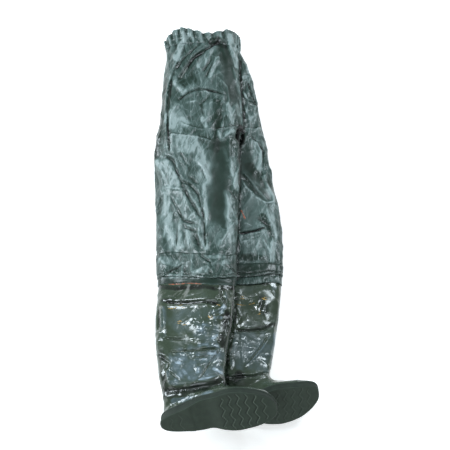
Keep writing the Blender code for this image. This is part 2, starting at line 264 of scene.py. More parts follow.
def driedCement(name, dark, bright):
    # rubber cement squeezed out at a join and dried: half glossy
    return plainFinish(name, (0.35, 1.5), "TexNoise", {"Scale": perMetre(6.0), "Detail": 3.0},
                       [(0.35, dark), (0.65, bright)], (0.4, 0.4))


clothMaterial = pvcCoatedCloth()
bootMaterial = mouldedPvc()
soleMaterial = mouldedRubber()
# the uncoated inner face of the cloth: a dull knit, ribs drawn at 3 mm so that they show
backingMaterial = plainFinish("polyester knitted backing", (0.9, 1.45), "TexWave",
                              {"Scale": perMetre(3.0) / fullTurn, "Distortion": 1.5, "Detail": 2.0},
                              [(0.0, "#4a524e"), (1.0, "#6f7873")], (0.4, 0.4))
# needled felt: matted fibres, no gloss
feltMaterial = plainFinish("wool felt needled", (0.95, 1.45), "TexNoise",
                           {"Scale": perMetre(3.0), "Detail": 6.0, "Distortion": 2.0},
                           [(0.0, "#5f5f58"), (1.0, "#8a8a80")], (0.5, 0.5))
amberCement = driedCement("rubber cement amber", "#7d6a3c", "#c9a050")
redCement = driedCement("rubber cement red", "#6a4a3c", "#b8684a")
print("materials made")

# Weld distance, rim width in walls, angle for joining triangles, share seen that gets smaller faces,
# room over a point that counts as open, lowest point over the floor
meshSet = {"weld": 0.02, "rim": 1.4, "join": 1.2, "seen": 0.12, "room": 8.0, "floor": 0.3}


def smoothStep(start, end, value):
    t = np.clip((value - start) / (end - start), 0.0, 1.0)
    return t * t * (3.0 - 2.0 * t)


def reshape(holder, kind, **settings):
    # add one modifier and keep the mesh that it gives
    step = holder.modifiers.new(kind, kind)
    for key, value in settings.items():
        setattr(step, key, value)
    graph = bpy.context.evaluated_depsgraph_get()
    mesh = bpy.data.meshes.new_from_object(holder.evaluated_get(graph))
    old = holder.data
    holder.modifiers.clear()
    holder.data = mesh
    bpy.data.meshes.remove(old)


def roundOff(holder):
    reshape(holder, "SUBSURF", levels=1, render_levels=1)


@contextmanager
def editing(mesh, into=None):
    work = bmesh.new()
    work.from_mesh(mesh)
    yield work
    work.to_mesh(into or mesh)
    work.free()


def skinOf(nodeName, wall, inner=False):
    # one side of a hollow node, without its other side and rims
    s = meshSet
    mesh = bpy.data.meshes.new(nodeName + "_skin")
    with editing(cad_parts[nodeName].data, mesh) as work:
        bmesh.ops.remove_doubles(work, verts=work.verts[:], dist=s["weld"] * mm)
        rims = [f for f in work.faces if min(e.calc_length() for e in f.edges) < s["rim"] * wall * mm]
        bmesh.ops.delete(work, geom=rims, context="FACES")
        waiting = set(work.faces)
        islands = []
        while waiting:
            island = [waiting.pop()]
            for face in island:
                fresh = {near for edge in face.edges for near in edge.link_faces} & waiting
                waiting -= fresh
                island.extend(fresh)
            islands.append(island)
        islands.sort(key=lambda faces: sum(f.calc_area() for f in faces))
        islands.pop(-2 if inner else -1)
        bmesh.ops.delete(work, geom=[f for i in islands for f in i], context="FACES")
        bmesh.ops.join_triangles(work, faces=work.faces[:], angle_face_threshold=s["join"],
                                 angle_shape_threshold=s["join"])
    return linkUp(nodeName + "_skin", mesh)


def cutLengthwise(holder, cuts):
    with editing(holder.data) as work:
        along = [e for e in work.edges
                 if abs(e.verts[0].co.y - e.verts[1].co.y) > 0.72 * e.calc_length()]
        bmesh.ops.subdivide_edges(work, edges=along, cuts=cuts, use_grid_fill=True)


def readSkin(mesh):
    # points in mm and normals
    rows = []
    for what in ("co", "normal"):
        flat = np.zeros(len(mesh.vertices) * 3)
        mesh.vertices.foreach_get(what, flat)
        rows.append(flat.reshape(-1, 3))
    return rows[0] / mm, rows[1]


def writePoints(mesh, points):
    mesh.vertices.foreach_set("co", (points * mm).ravel())
    mesh.update()


def writeAttribute(mesh, name, values):
    layer = mesh.attributes.get(name) or mesh.attributes.new(name, "FLOAT", "POINT")
    layer.data.foreach_set("value", values.astype(np.float32))


def wear(skin, points, material, **layers):
    # new points that rest on the floor, painted layers and a finish
    points[:, 2] = np.maximum(points[:, 2], meshSet["floor"])
    writePoints(skin.data, points)
    for name, values in layers.items():
        writeAttribute(skin.data, name, values)
    skin.data.materials.clear()
    skin.data.materials.append(material)


def treeOf(meshes):
    corners, faces = [], []
    for mesh in meshes:
        start = len(corners)
        corners.extend(v.co.copy() for v in mesh.vertices)
        faces.extend([start + i for i in p.vertices] for p in mesh.polygons)
    return BVHTree.FromPolygons(corners, faces)


cadTree = treeOf([node.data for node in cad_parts.values()])


def openAbove(points, normals):
    # 1 on surfaces that face up with nothing lying on them
    up = Vector((0.0, 0.0, 1.0))
    free = np.ones(len(points))
    start = points * mm + np.array([0.0, 0.0, meshSet["room"] * mm])
    for i in np.nonzero(normals[:, 2] > 0.0)[0]:
        if cadTree.ray_cast(Vector(start[i]), up)[0] is not None:
            free[i] = 0.0
    return free * smoothStep(0.02, 0.35, normals[:, 2])


def distanceTo(nodeName, points):
    tree = treeOf([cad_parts[nodeName].data])
    return np.array([tree.find_nearest(Vector(p))[3] for p in points * mm]) / mm


def depthAt(tree, point):
    # height of a point over the nearest skin, below zero when behind it, the way out and the distance
    spot = Vector(point * mm)
    hit, normal, face, far = tree.find_nearest(spot)
    return (spot - hit).dot(normal) / mm, np.array(normal), far / mm


def refineTop(holder, top):
    # smaller faces where the skin is seen from above
    with editing(holder.data) as work:
        seen = [f for f in work.faces if max(top[v.index] for v in f.verts) > meshSet["seen"]]
        edges = list({e for f in seen for e in f.edges})
        bmesh.ops.subdivide_edges(work, edges=edges, cuts=1, use_grid_fill=True)
        inner = [v for v in work.verts if not v.is_boundary]
        for turn in range(4):
            bmesh.ops.smooth_vert(work, verts=inner, factor=0.5, use_axis_x=True, use_axis_y=True,
                                  use_axis_z=True)


def fineSkin(nodeName, wall, cuts):
    skin = skinOf(nodeName, wall)
    roundOff(skin)
    cutLengthwise(skin, cuts)
    roundOff(skin)
    refineTop(skin, openAbove(*readSkin(skin.data)))
    points, normals = readSkin(skin.data)
    return skin, points, normals, openAbove(points, normals)


def hollow(holder, wall, inside=None):
    # give the skin its wall, with the inner side in its own material
    if inside:
        holder.data.materials.append(inside)
    reshape(holder, "SOLIDIFY", thickness=wall * mm, offset=-1.0, use_rim=True,
            material_offset=1 if inside else 0)


def dress(holder, name, slot, *nodes):
    holder.name = name
    holder.data.name = name
    holder.data.shade_smooth()
    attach(holder, "root")
    if nodes:
        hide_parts(*nodes)
    print(name, "faces", len(holder.data.polygons))
    return holder


# Folds and wrinkles
def slowNoise(points, size, seed):
    # smooth values of about -1 to 1 that change over the given size
    draw = np.random.default_rng(seed)
    total = np.zeros(len(points))
    waves = 9
    for k in range(waves):
        way = draw.normal(size=3)
        way /= np.linalg.norm(way)
        total += np.sin(points @ way * (2.0 * math.pi / (size * draw.uniform(0.8, 2.2)))
                        + draw.uniform(0.0, fullTurn))
    return total / math.sqrt(waves)


def longWrinkles(points, families, seed):
    # crests that run at an angle to the leg, each family with its width, length and height
    total = np.zeros(len(points))
    for k, (angle, wide, long, height) in enumerate(families):
        turn = math.radians(angle)
        bend = 0.4 * wide * slowNoise(points, 5.0 * wide, seed + 10 * k)
        across = (points[:, 0] * math.cos(turn) + points[:, 1] * math.sin(turn) + bend) / wide
        along = (points[:, 1] * math.cos(turn) - points[:, 0] * math.sin(turn)) / long
        up = points[:, 2] / wide + seed + 7.3 * k
        values = np.array([noise.noise(p) for p in np.stack([across, along, up], axis=1).tolist()])
        total += height * (np.exp(-(4.5 * values) ** 2) - 0.3)
    return total


def lineDistance(points, line):
    # distance to a line on the ground plan, side of it, how far along it is from 0 to 1, and its length
    line = np.array(line, float)
    steps = np.diff(line, axis=0)
    lengths = np.linalg.norm(steps, axis=1)
    ways = steps / lengths[:, None]
    offset = points[:, None, :2] - line[:-1]
    t = np.clip((offset * ways).sum(axis=2), 0.0, lengths)
    gap = offset - t[..., None] * ways
    near = np.hypot(gap[..., 0], gap[..., 1])
    side = np.sign(ways[:, 0] * gap[..., 1] - ways[:, 1] * gap[..., 0])
    along = (np.cumsum(lengths) - lengths + t) / lengths.sum()
    closest = np.arange(len(points)), near.argmin(axis=1)
    return near[closest], side[closest], along[closest], lengths.sum()


def nearLine(points, line, reach):
    # numbers of the points in the box round a line, on the ground plan
    low, high = np.min(line, axis=0) - reach, np.max(line, axis=0) + reach
    return np.nonzero(np.all((points[:, :2] > low) & (points[:, :2] < high), axis=1))[0]


def paint(points, patches, seed):
    # strength of listed patches with ragged edges
    total = np.zeros(len(points))
    for wide, strength, *line in patches:
        pick = nearLine(points, line, 2.0 * wide)
        near = lineDistance(points[pick], line)[0]
        near = near + 0.22 * wide * slowNoise(points[pick], 26.0, seed)
        total[pick] = np.maximum(total[pick], strength * (1.0 - smoothStep(0.5 * wide, 1.4 * wide, near)))
    return total


def creaseShape(points, tables):
    # height of the creases, and thin lines of painted highlight and painted shade along them
    height, tone = np.zeros(len(points)), np.zeros(len(points))
    for kind, wide, deep, *line in [(kind, *row) for t in tables for kind in t for row in t[kind]]:
        pick = nearLine(points, line, 5.0 * wide)
        near, side, along, length = lineDistance(points[pick], line)
        ends = np.minimum(along, 1.0 - along) * length
        fade = 0.25 + 0.75 * smoothStep(0.0, min(14.0, 0.4 * length), ends)
        fade = fade * np.where(ends <= 0.0, np.exp(-(near / wide) ** 2), 1.0)
        # thin lines of painted highlight on ridges and lips, painted shade in troughs and below drops
        thin = min(1.0, deep / 4.0) * fade * (0.85 + 0.3 * slowNoise(points[pick], 34.0, 3))
        if kind == "ridge":
            shape = np.exp(-1.1 * (np.sqrt(near ** 2 + 1.0) - 1.0) / wide)
            mark = 0.6 * np.exp(-(near / 2.4) ** 2)
        elif kind == "trough":
            shape = 0.3 * np.exp(-((near - 1.9 * wide) / wide) ** 2) - np.exp(-(near / wide) ** 2)
            mark = (0.0 if wide > 8 else -1.0) * np.exp(-(near / max(2.2, 0.45 * wide)) ** 2)
        else:  # fold: a lip that drops sharply on its other side
            shape = np.where(side > 0, np.exp(-0.7 * near / wide), -0.5 * np.exp(-1.6 * near / wide))
            mark = np.where(side > 0, 0.4, -0.8) * np.exp(-((near - 2.0) / 2.0) ** 2)
        height[pick] += deep * shape * fade
        tone[pick] += thin * mark
    return height, tone


def calmShare(points, patches):
    # how much of the fine crumple is left, patch by patch
    share = np.ones(len(points))
    for wide, left, *line in patches:
        near = lineDistance(points, line)[0]
        share *= left + (1.0 - left) * smoothStep(0.7 * wide, 1.5 * wide, near)
    return share


# Main creases by kind: half width, depth, then the points of the line
hipFolds = {
    "trough": [
        (6, 6, (-35, 580), (-80, 542), (-110, 515), (-130, 480), (-150, 443)),
        (3, 3, (-97, 562), (-142, 511), (-161, 474)),
        (4, 4, (-152, 369), (-124, 391), (-90, 404), (-56, 398), (-20, 386)),
        (3, 3, (-36, 532), (-76, 443)), (3, 3, (-60, 509), (-85, 461)),
        (10, 0.7, (-30, 585), (-14, 550), (-2, 512), (-2, 440), (0, 380)),
        (4, 3, (-78, 311), (-87, 351), (-64, 376)), (3, 3.5, (46, 463), (60, 410), (74, 380)),
        (3, 3, (36, 394), (77, 382)), (8, 12, (25, 282), (18, 242))],
    "ridge": [
        (6, 4, (-135, 598), (-160, 545), (-170, 518)), (5, 4, (-168, 443), (-153, 411), (-136, 395)),
        (3, 3, (-42, 525), (-62, 454)), (3, 3, (-54, 561), (-76, 491)), (4, 3, (-30, 548), (-65, 451)),
        (3, 3, (-103, 498), (-82, 463)),
        (3, 3, (-44, 452), (-33, 438), (-13, 416), (-7, 370), (-13, 335), (0, 316), (16, 356)),
        (3, 3, (3, 495), (17, 430), (27, 353), (28, 294)), (4, 3, (-10, 582), (5, 548), (20, 510)),
        (3, 2.5, (-84, 397), (-61, 387)), (4, 3, (-147, 358), (-169, 317), (-176, 261)),
        (3, 2.5, (-174, 305), (-152, 355)), (3, 3, (-13, 328), (1, 287)), (4, 4, (-38, 261), (-30, 231)),
        (4, 4, (-28, 232), (4, 266)), (4, 3, (-135, 356), (-101, 362), (-98, 376)),
        (3, 3, (-86, 321), (-78, 291), (-61, 311)), (4, 4, (31, 528), (52, 485), (48, 442)),
        (3, 3, (34, 418), (51, 382)), (3, 3, (33, 373), (53, 324), (77, 356)), (3, 3, (71, 382), (56, 324)),
        (3, 2, (-97, 253), (-96, 197))],
    "fold": [
        (5, 5, (-175, 205), (-180, 260), (-185, 345), (-182, 410), (-165, 480), (-145, 530), (-135, 580)),
        (3, 2.5, (-50, 225), (-75, 235), (-100, 243), (-140, 248), (-178, 256)),
        (3, 3, (27, 290), (-18, 272), (-50, 267), (-90, 267), (-122, 279), (-145, 294)),
        (3, 3, (90, 311), (67, 295), (38, 295))],
}
rightLegFolds = {
    "trough": [
        (4, 5, (-186, 190), (-165, 173), (-141, 106), (-121, 55), (-96, 5), (-76, -37), (-70, -120)),
        (3, 4, (-141, 106), (-112, 85), (-91, 54), (-86, 26), (-76, -20), (-67, -35)),
        (3, 4, (-169, 70), (-150, 27), (-130, -17), (-95, -39)),
        (3, 3, (-130, -22), (-125, -40), (-95, -61)), (3, 3, (-119, 114), (-92, 85)),
        (3, 3, (-87, 146), (-68, 94)), (3, 3, (-98, 207), (-96, 170)), (3, 3, (-160, 150), (-135, 100)),
        (3, 2.5, (-145, 200), (-115, 130)),
        (18, 1.5, (-35, 211), (-36, 116), (-36, 18), (-40, -55), (-42, -130)), (3, 3, (-8, 70), (12, 45)),
        (5, 4, (-99, -65), (-87, -118)), (3, 3, (-147, -30), (-150, -100))],
    "ridge": [
        (5, 3.5, (-198, 185), (-177, 162), (-141, 110)),
        (6, 4, (-91, 210), (-96, 174), (-79, 137), (-68, 98)),
        (3, 3.5, (-77, 88), (-74, 65), (-79, 48), (-69, 2), (-67, -35)),
        (5, 3, (-2, 178), (-2, 135), (9, 104)), (3, 3, (23, 169), (9, 111), (6, 73), (16, 69)),
        (3, 3.5, (-16, 62), (-6, 17), (-11, -18), (-4, -34)), (3, 3, (10, -25), (-14, -70), (-33, -115)),
        (8, 3.5, (-209, 190), (-188, 138), (-176, 98)), (3, 3, (-187, 99), (-126, 75)),
        (4, 3, (-187, 96), (-180, 44), (-180, 10)), (3, 2.5, (-169, 70), (-158, 43), (-144, 11)),
        (3, 2.5, (-118, -16), (-96, 2)), (8, 4, (-180, -9), (-159, -62), (-148, -98)),
        (4, 4, (-86, 19), (-83, -34), (-90, -68), (-70, -120)), (3, 3, (-2, 16), (14, -40)),
        (4, 3, (-135, -49), (-142, -100)), (3, 2.5, (-121, -48), (-115, -100)),
        (4, 3, (-67, 8), (-64, -37))],
}
leftLegFolds = {
    "trough": [
        (10, 3, (32, 135), (55, 97), (80, 70), (100, 58)),
        (3, 3.5, (52, 273), (75, 249), (89, 220), (85, 159)), (4, 6, (20, -50), (55, -42), (86, -32)),
        (7, 4, (69, 1), (101, -22), (112, -65))],
    "ridge": [
        (3, 4, (29, 150), (46, 130), (70, 93), (100, 58)),
        (3, 4, (26, 129), (38, 101), (65, 70), (94, 49), (115, 58), (115, 79), (93, 119)),
        (5, 4, (69, 261), (83, 219), (85, 165)), (3, 3, (78, 267), (98, 230)),
        (3, 3.5, (22, -61), (82, -46)), (6, 4, (94, 41), (107, -18), (109, -66), (105, -122)),
        (3, 3, (81, -61), (99, -96), (106, -125)), (3, 3, (76, -55), (66, -100)),
        (3, 2.5, (22, -78), (60, -68)), (3, 2.5, (28, -12), (55, -25))],
}
kneeBandFolds = {
    "trough": [
        (3, 4, (-175, -172), (-125, -151)), (3, 3, (-123, -156), (-127, -196)),
        (3, 4, (-85, -138), (-56, -168)), (3, 3, (-66, -181), (-53, -204)),
        (3, 3.5, (-16, -169), (10, -196))],
    "ridge": [
        (3, 3, (-197, -118), (-173, -152)), (3, 3.5, (-104, -131), (-106, -169), (-103, -199)),
        (3, 3, (-98, -196), (-75, -179), (-63, -179), (-56, -197)),
        (3, 3, (-21, -152), (-21, -175), (-9, -192)), (3, 2.5, (-133, -143), (-129, -190))],
}
rightBootFolds = {
    "trough": [
        (4, 5, (-29, -246), (-26, -272), (-8, -301)),
        (5, 4, (-173, -263), (-122, -278), (-70, -286), (-29, -290)), (4, 4, (-194, -273), (-188, -348)),
        (3, 2.5, (-177, -375), (-120, -386)), (3, 4.5, (-158, -418), (-91, -420), (-34, -416)),
        (2.5, 3, (-91, -442), (-56, -437)), (2.5, 3.5, (-32, -416), (-54, -453), (-83, -504)),
        (4, 4, (-183, -427), (-159, -448), (-166, -476)), (2.5, 3, (-161, -471), (-130, -505)),
        (9, 8, (-173, -524), (-105, -530), (-55, -525), (-18, -509))],
    "ridge": [
        (2.5, 4, (-18, -251), (-16, -285)), (4, 3, (-171, -247), (-147, -251)),
        (4, 3, (-180, -274), (-173, -320), (-169, -367)), (3, 3, (-47, -319), (-21, -298)),
        (3, 3, (-44, -339), (-26, -315)), (3, 3, (-92, -364), (-77, -371), (-74, -350)),
        (2, 2.5, (-91, -429), (-41, -423)), (2.5, 3, (-39, -422), (-61, -465)),
        (2.5, 3, (-166, -470), (-160, -496), (-150, -516)), (3, 3, (-147, -435), (-121, -448)),
        (2.5, 3, (-88, -464), (-86, -485)), (2.5, 3, (-73, -495), (-21, -479)),
        (4, 3, (-130, -540), (-92, -539), (-65, -532)), (2, 1.5, (-109, -404), (-123, -449), (-129, -506)),
        (2, 1.5, (-95, -405), (-94, -451), (-86, -505))],
}
leftBootFolds = {
    "trough": [
        (3, 4, (5, -339), (44, -342), (83, -337), (104, -321)), (3, 3, (93, -355), (69, -393), (40, -430)),
        (3.5, 4, (-11, -474), (57, -471), (91, -456)), (5, 3, (79, -252), (73, -282))],
    "ridge": [
        (2.5, 3, (101, -346), (77, -387), (45, -430), (27, -446)), (2.5, 2.5, (74, -409), (106, -400)),
        (2.5, 2, (101, -205), (111, -226), (116, -245)), (2, 1.5, (25, -349), (26, -446)),
        (2, 1.5, (33, -349), (33, -385))],
}

# Angle to the leg, width, length and height of each family of small folds
clothWrinkles = [(6, 36, 140, 2.6), (-16, 26, 90, 1.8), (28, 28, 80, 1.3), (-50, 24, 60, 0.8)]
bootWrinkles = [(80, 40, 120, 1.4), (15, 50, 110, 1.0), (-40, 34, 60, 0.8)]

# Strips of cloth that lie smooth: half width, share of crumple left, then the points of the line
calmStrips = [
    (16, 0.15, (-30, 567), (-13, 513), (-4, 442), (0, 372)),
    (26, 0.15, (-38, 204), (-35, 116), (-35, 19), (-36, -20)), (22, 0.2, (45, 190), (38, 165)),
    (20, 0.3, (45, 145), (70, 110), (100, 80)), (20, 0.4, (60, 40), (45, -20)),
    (9, 0.1, (-195, -190), (-137, -203), (-84, -222), (-31, -228), (8, -220)),
    (26, 0.5, (20, -165), (85, -158)),
]

# Paler cloth as painted sheen: half width, strength, then the points of the line
clothPaintedSheen = [
    (60, 0.22, (-110, 440), (-70, 330)), (40, 0.3, (-140, 330), (-110, 300)),
    (40, 0.15, (60, 480), (70, 300)), (50, 0.3, (70, 60), (60, -90)), (70, 0.2, (-140, 150), (-120, 0)),
    (40, 0.35, (-150, 60), (-110, -10)), (18, 0.8, (-160, 240), (-115, 232)),
    (20, 0.8, (-160, 215), (-125, 200)), (20, 0.8, (-95, 205), (-80, 150), (-70, 100)),
    (16, 0.7, (-195, 185), (-165, 150), (-150, 100)),
    (14, 0.8, (-180, 90), (-178, 10), (-170, -45), (-150, -100)), (10, 0.6, (-150, -20), (-135, -95)),
    (8, 0.6, (-120, -50), (-112, -105)),
    (7, 0.8, (-78, 85), (-72, 35), (-68, -15), (-76, -65), (-68, -120)),
    (10, 0.7, (-14, 60), (-8, 5), (-10, -45), (0, -90)), (8, 0.7, (2, 175), (4, 130), (14, 80)),
    (12, 0.8, (66, 245), (72, 210), (77, 165)),
    (8, 0.8, (90, 135), (100, 105), (113, 65), (108, 30), (112, -20), (113, -65), (107, -130)),
    (25, 0.35, (55, 60), (75, 20)), (10, 0.8, (-133, 600), (-142, 560), (-155, 515)),
    (9, 0.8, (-4, 605), (5, 555), (14, 500)), (12, 0.5, (-55, 555), (-77, 510), (-94, 488)),
    (6, 0.6, (-40, 517), (-53, 473), (-62, 447)), (10, 0.7, (-168, 447), (-152, 418), (-136, 393)),
    (16, 0.8, (-172, 325), (-158, 285)), (15, 0.8, (-165, 300), (-130, 285)),
    (14, 0.7, (-150, 275), (-148, 200)), (8, 0.8, (-83, 300), (-72, 275)),
    (7, 0.7, (-10, 355), (0, 330), (4, 292)), (5, 0.6, (16, 362), (21, 328)),
    (7, 0.7, (-35, 260), (-28, 233)), (7, 0.5, (-20, 250), (2, 266)), (5, 0.7, (34, 468), (46, 475)),
    (5, 0.7, (34, 418), (48, 392)), (6, 0.7, (42, 363), (56, 324)), (6, 0.7, (70, 353), (62, 318)),
    (11, 0.6, (-193, -126), (-144, -147)), (7, 0.6, (-162, -181), (-132, -184)),
    (7, 0.6, (-95, -190), (-68, -189)), (7, 0.7, (-71, -150), (-26, -147)),
    (7, 0.5, (-42, -170), (-11, -165)), (26, 0.4, (-48, -50), (-30, -100)),
    (9, 0.35, (-60, 190), (-48, 150)), (6, 0.3, (-22, 205), (-12, 165)),
]

# Darker cloth as painted shade: in hollows, along overlaps and where it lies flat
clothPaintedShade = [
    (24, 0.26, (-35, 215), (-35, 150), (-30, 85), (-35, 20), (-36, -15)),
    (14, 0.3, (-27, 565), (-13, 513), (-4, 450), (2, 390)), (10, 0.9, (-55, 575), (-36, 585), (-24, 565)),
    (16, 0.4, (-125, 473), (-113, 436), (-136, 423)), (12, 0.6, (-41, 360), (-41, 305), (-41, 200)),
    (9, 2.5, (28, 284), (24, 265), (26, 246)),
    (14, 0.5, (-199, 454), (-205, 350), (-212, 250), (-216, 195)),
    (3, 0.9, (-171, 444), (-178, 358), (-179, 271), (-175, 205)),
    (5, 0.6, (-148, 447), (-130, 480), (-112, 514), (-80, 541), (-54, 562)),
    (4, 0.9, (26, 526), (25, 478), (31, 408), (36, 322), (36, 295)),
    (4, 0.9, (27, 286), (33, 272), (24, 235), (23, 130), (20, 33), (17, -69), (13, -192)),
    (9, 0.15, (44, 222), (40, 169)), (12, 0.4, (40, 130), (60, 100), (85, 80), (105, 70)),
    (14, 0.5, (50, 165), (80, 130), (100, 110)), (9, 0.6, (83, 5), (101, -19), (112, -65)),
    (3, 0.9, (19, -50), (55, -42), (88, -30)), (10, 0.5, (22, -119), (49, -125), (81, -124)),
    (6, 0.4, (-195, -190), (-137, -203), (-84, -222), (-31, -228), (8, -220)),
    (24, 0.35, (20, -168), (130, -158)),
]

# Paler places on the boots as painted sheen and glints, darker ones as painted shade, and those with more
# small dents
bootPaintedSheen = [
    (36, 0.22, (-120, -325), (-70, -345), (-60, -390)), (22, 0.35, (-72, -355), (-50, -372), (-56, -399)),
    (6, 0.7, (-82, -406), (-36, -408)), (8, 0.2, (-177, -281), (-178, -335), (-177, -375)),
    (34, 0.4, (-130, -450), (-50, -440)), (30, 0.4, (-140, -485), (-40, -480)),
    (8, 0.5, (-142, -549), (-92, -558), (-55, -550)), (6, 0.6, (-47, -317), (-26, -309), (-16, -294)),
    (52, 0.3, (30, -390), (70, -400)), (6, 0.5, (112, -345), (106, -387)),
    (6, 0.3, (104, -184), (114, -212)), (4, 0.9, (-90, -433), (-43, -429)),
    (4, 0.8, (-92, -446), (-65, -447)), (4, 0.8, (-141, -450), (-125, -456)),
    (5, 0.7, (-122, -475), (-106, -503)), (4, 0.8, (-87, -486), (-84, -470)),
    (5, 0.9, (-45, -474), (-22, -486)), (4, 0.7, (-82, -507), (-27, -494)),
    (4, 0.7, (-75, -350), (-57, -356)), (4, 0.9, (-49, -388), (-38, -380)),
    (4, 0.7, (-50, -318), (-22, -316)), (4, 0.7, (-45, -332), (-22, -331)),
]
bootPaintedShade = [
    (7, 0.8, (-191, -209), (-110, -231), (-44, -249), (5, -238)),
    (6, 0.6, (-181, -257), (-109, -279), (-44, -291)), (12, 0.8, (-11, -315), (-16, -357), (-26, -404)),
    (11, 0.8, (-168, -529), (-130, -531), (-92, -528), (-55, -520), (-18, -491)),
    (8, 0.5, (-181, -416), (-173, -483), (-165, -528)),
    (4, 0.7, (15, -342), (59, -336), (93, -325), (112, -316)), (6, 0.6, (21, -204), (61, -204), (96, -199)),
    (12, 0.4, (79, -252), (86, -287)), (14, 0.8, (7, -482), (15, -472)),
    (6, 0.9, (10, -250), (5, -298), (-2, -350), (-13, -402), (-16, -519)),
]
dentedBoot = [
    (26, 0.8, (-80, -345), (-50, -370), (-70, -405)), (26, 0.9, (-140, -450), (-60, -440), (-30, -470)),
    (22, 0.8, (-150, -490), (-40, -480)), (14, 0.7, (-175, -245), (-130, -250)),
    (20, 0.8, (-40, -250), (-20, -300), (-40, -330)), (14, 0.6, (-150, -545), (-70, -555)),
    (12, 0.5, (-180, -290), (-178, -370)),
    (12, 1.0, (10, -215), (8, -300), (0, -350), (-8, -402), (-15, -490)),
]

bootSet = {"wall": 2.0, "cuts": 2, "crumple": 0.5, "lineTone": 0.6}


def buildBoot(side, folds, seed):
    s = bootSet
    nodeName = "boot_upper_" + side
    skin, points, normals, top = fineSkin(nodeName, s["wall"], s["cuts"])
    lift, lines = creaseShape(points, [folds])
    lift *= top
    lift += longWrinkles(points, bootWrinkles, seed) * (0.4 + 0.6 * top)
    lift *= smoothStep(1.5, 12.0, distanceTo("outsole_" + side, points))
    lift *= smoothStep(2.0, 14.0, distanceTo("trousers", points))
    # painted sheen and glints, painted shade, and painted highlight and shade lines along the creases
    tone = paint(points, bootPaintedSheen, 31) - paint(points, bootPaintedShade, 33) + s["lineTone"] * lines
    wear(skin, points + normals * lift[:, None], bootMaterial, tone=tone * top,
         crumple=s["crumple"] + paint(points, dentedBoot, 35))
    return dress(skin, "boot_%s_pvc" % side, "moulded_pvc", nodeName)


boots = [buildBoot("right", rightBootFolds, 41), buildBoot("left", leftBootFolds, 57)]

# The hem of the right leg and its band are drawn down on the slant, by shifts along the leg
hemSlant = {"across": (-200, -170, -135, -110, -80, -50, -20, 10),
            "shift": (5, -2, -9, -19, -30, -37, -36, -27), "from": -5.0, "whole": -110.0, "rise": 0.18,
            "height": (48.0, 62.0)}

# Pleats drawn up by the elastic, sharp at the casing and gone a hand's breadth below it
gatherSet = {"fine": 13.0, "fineHeight": 1.0, "broad": 26.0, "broadHeight": 2.4, "fade": 45.0, "from": 572.0}


def slantHem(points, normals):
    s = hemSlant
    shift = np.interp(points[:, 0], s["across"], s["shift"])
    shift = shift * smoothStep(s["from"], s["whole"], points[:, 1])
    shift = shift * smoothStep(*s["height"], points[:, 2]) * smoothStep(-0.3, 0.3, normals[:, 2])
    return points + np.stack([0.0 * shift, shift, -s["rise"] * shift], axis=1)


def gatherHeight(points):
    s = gatherSet
    across = points[:, 0] + 0.8 * points[:, 2] + 5.0 * slowNoise(points, 70.0, 5)
    below = np.maximum(0.0, s["from"] - points[:, 1])
    fine = s["fineHeight"] * np.sin(fullTurn * across / s["fine"]) * np.exp(-0.15 * below)
    broad = s["broadHeight"] * np.sin(fullTurn * (across + 0.25 * points[:, 1]) / s["broad"])
    return fine + broad * np.exp(-below / s["fade"])


def clothShape(points, top):
    # folds, small wrinkles and painted sheen and shade, the same for every layer of cloth at one place
    fold, lines = creaseShape(points, [hipFolds, rightLegFolds, leftLegFolds, kneeBandFolds])
    fold = fold * top
    calm = 1.0 - (1.0 - calmShare(points, calmStrips)) * top
    gathers = gatherHeight(points)
    small = longWrinkles(points, clothWrinkles, 11) * calm * (0.35 + 0.65 * top) + gathers
    form = np.clip((fold + small) / 4.0, -1.0, 1.0)
    # painted sheen, stronger where the folds rise
    pale = paint(points, clothPaintedSheen, 21) * (0.8 + 0.4 * form)
    # paler towards the waist, with painted highlight on the pleat crests and painted shade between them
    drawn = smoothStep(530.0, 590.0, points[:, 1]) * (0.2 + 0.12 * gathers)
    # painted shade, painted highlight and shade following the folds, and the painted crease lines
    tone = top * (pale - paint(points, clothPaintedShade, 23) + 0.15 * form + lines + drawn)
    return fold + small, tone, calm


def slantedCloth(skin, points, normals, top):
    # the cloth drawn down on the slant, with the folds of its new place
    points = slantHem(points, normals)
    writePoints(skin.data, points)
    return points, readSkin(skin.data)[1], *clothShape(points, top)


# The cloth sinks under bands and casing, and keeps a gap to the boots below the top of its hem
trouserSet = {"wall": 0.9, "cuts": 2, "under": 0.9, "bootGap": 1.5, "bootReach": 15.0, "hemTop": -165.0,
              "rimTop": -150.0, "rimSink": 1.2}


def buildTrousers():
    s = trouserSet
    skin, points, normals, top = fineSkin("trousers", s["wall"], s["cuts"])
    covered = np.zeros(len(points))
    for nodeName in ("knee_band_right", "knee_band_left", "waist_casing"):
        covered = np.maximum(covered, 1.0 - smoothStep(0.6, 8.0, distanceTo(nodeName, points)))
    points, normals, lift, tone, crumple = slantedCloth(skin, points, normals, top)
    points = points + normals * (lift - s["under"] * covered)[:, None]
    with editing(skin.data) as work:
        rim = [v.index for v in work.verts if v.is_boundary and points[v.index, 1] < s["rimTop"]]
    for boot in boots:
        tree = treeOf([boot.data])
        for i in np.nonzero(points[:, 1] <= s["hemTop"])[0]:
            depth, out, far = depthAt(tree, points[i])
            if far < s["bootReach"] and depth < s["bootGap"]:
                points[i] += out * (s["bootGap"] - depth)
    points[rim] = points[rim] - s["rimSink"] * normals[rim]
    wear(skin, points, clothMaterial, tone=tone, crumple=crumple)
    return dress(skin, "trousers_cloth", "pvc_coated_cloth", "trousers")


# The lining starts below the waist, swells towards the skin and stays behind it
liningSet = {"from": 430.0, "swell": 3.0, "behind": 2.5}


